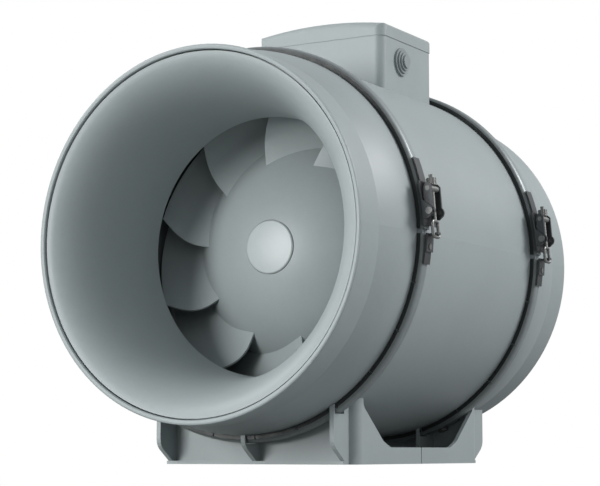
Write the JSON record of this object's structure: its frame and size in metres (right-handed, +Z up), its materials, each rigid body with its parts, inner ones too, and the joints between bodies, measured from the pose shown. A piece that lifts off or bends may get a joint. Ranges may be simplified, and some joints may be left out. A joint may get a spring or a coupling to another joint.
{
  "type": "inline duct fan",
  "caption": "Round inline mixed-flow duct fan with clamped end sections, flared inlet, bladed impeller, terminal box on top and a bracket base.",
  "frame": {"origin": "centre of the four mounting holes, on the plane the base stands on", "axes": "+Y the direction of the air, +Z up, +X the side with the clamp latches"},
  "size_m": [0.2773, 0.326, 0.3189],
  "materials": {
    "casing_plastic": "matte",
    "inner_plastic": "matte",
    "impeller_plastic": "matte",
    "cap_plastic": "satin",
    "rubber": "matte",
    "grommet_rubber": "matte",
    "zinc_steel": "zinc plated",
    "ground_steel": "ground",
    "lamination_steel": "oiled",
    "copper_wire": "enamelled copper",
    "motor_paint": "satin black",
    "cast_aluminium": "as cast",
    "terminal_plastic": "matte",
    "capacitor_can": "matte",
    "clamp_paint": "satin dark grey",
    "latch_steel": "dark zinc"
  },
  "bodies": {
    "casing": {"inlet_housing": "casing_plastic", "inlet_bellmouth": "casing_plastic", "central_casing": "casing_plastic", "impeller_shroud": "inner_plastic", "guide_vane_block": "inner_plastic", "vane_support_ring": "inner_plastic", "motor_housing": "inner_plastic", "outlet_housing": "casing_plastic", "outlet_core": "inner_plastic", "front_gasket": "rubber", "rear_gasket": "rubber", "motor_casing": "motor_paint", "stator_stack": "lamination_steel", "stator_windings": "copper_wire", "front_end_shield": "cast_aluminium", "rear_end_shield": "cast_aluminium", "front_bearing": "ground_steel", "rear_bearing": "ground_steel", "motor_screws": "zinc_steel", "terminal_box_lid": "casing_plastic", "lid_screws": "zinc_steel", "terminal_block": "terminal_plastic", "capacitor": "capacitor_can", "cable_grommet": "grommet_rubber", "front_base": "casing_plastic", "rear_base": "casing_plastic", "base_screws": "zinc_steel", "front_clamp_band": "clamp_paint", "front_clamp_strap": "clamp_paint", "front_latch_bracket": "latch_steel", "front_latch_catch": "latch_steel", "front_clamp_rivets": "zinc_steel", "front_latch_studs": "zinc_steel", "rear_clamp_band": "clamp_paint", "rear_clamp_strap": "clamp_paint", "rear_latch_bracket": "latch_steel", "rear_latch_catch": "latch_steel", "rear_clamp_rivets": "zinc_steel", "rear_latch_studs": "zinc_steel"},
    "air_mover": {"impeller": "impeller_plastic", "hub_cap": "cap_plastic", "impeller_nut": "zinc_steel", "motor_shaft": "ground_steel", "rotor": "lamination_steel"},
    "front_lever": {"front_latch_lever": "latch_steel"},
    "front_hook": {"front_latch_trunnion": "zinc_steel", "front_hook_bolt": "zinc_steel", "front_latch_nut": "zinc_steel"},
    "rear_lever": {"rear_latch_lever": "latch_steel"},
    "rear_hook": {"rear_latch_trunnion": "zinc_steel", "rear_hook_bolt": "zinc_steel", "rear_latch_nut": "zinc_steel"}
  },
  "joints": [
    {"name": "impeller_spin", "type": "hinge", "parent": "casing", "child": "air_mover", "pos_m": [0, 0, 0.1485], "axis": [0, 1, 0], "continuous": true},
    {"name": "front_lever_pivot", "type": "hinge", "parent": "casing", "child": "front_lever", "pos_m": [0.13967, -0.1065, 0.16072], "axis": [0, 1, 0], "range_deg": [0, 100]},
    {"name": "front_hook_pivot", "type": "hinge", "parent": "front_lever", "child": "front_hook", "pos_m": [0.13756, -0.1065, 0.17559], "axis": [0, 1, 0], "range_deg": [-100, 0]},
    {"name": "rear_lever_pivot", "type": "hinge", "parent": "casing", "child": "rear_lever", "pos_m": [0.13967, 0.0755, 0.16072], "axis": [0, 1, 0], "range_deg": [0, 100]},
    {"name": "rear_hook_pivot", "type": "hinge", "parent": "rear_lever", "child": "rear_hook", "pos_m": [0.13756, 0.0755, 0.17559], "axis": [0, 1, 0], "range_deg": [-100, 0]}
  ],
  "couplings": [
    {"joint": "front_hook_pivot", "follows": "front_lever_pivot", "ratio": -1},
    {"joint": "rear_hook_pivot", "follows": "rear_lever_pivot", "ratio": -1}
  ]
}
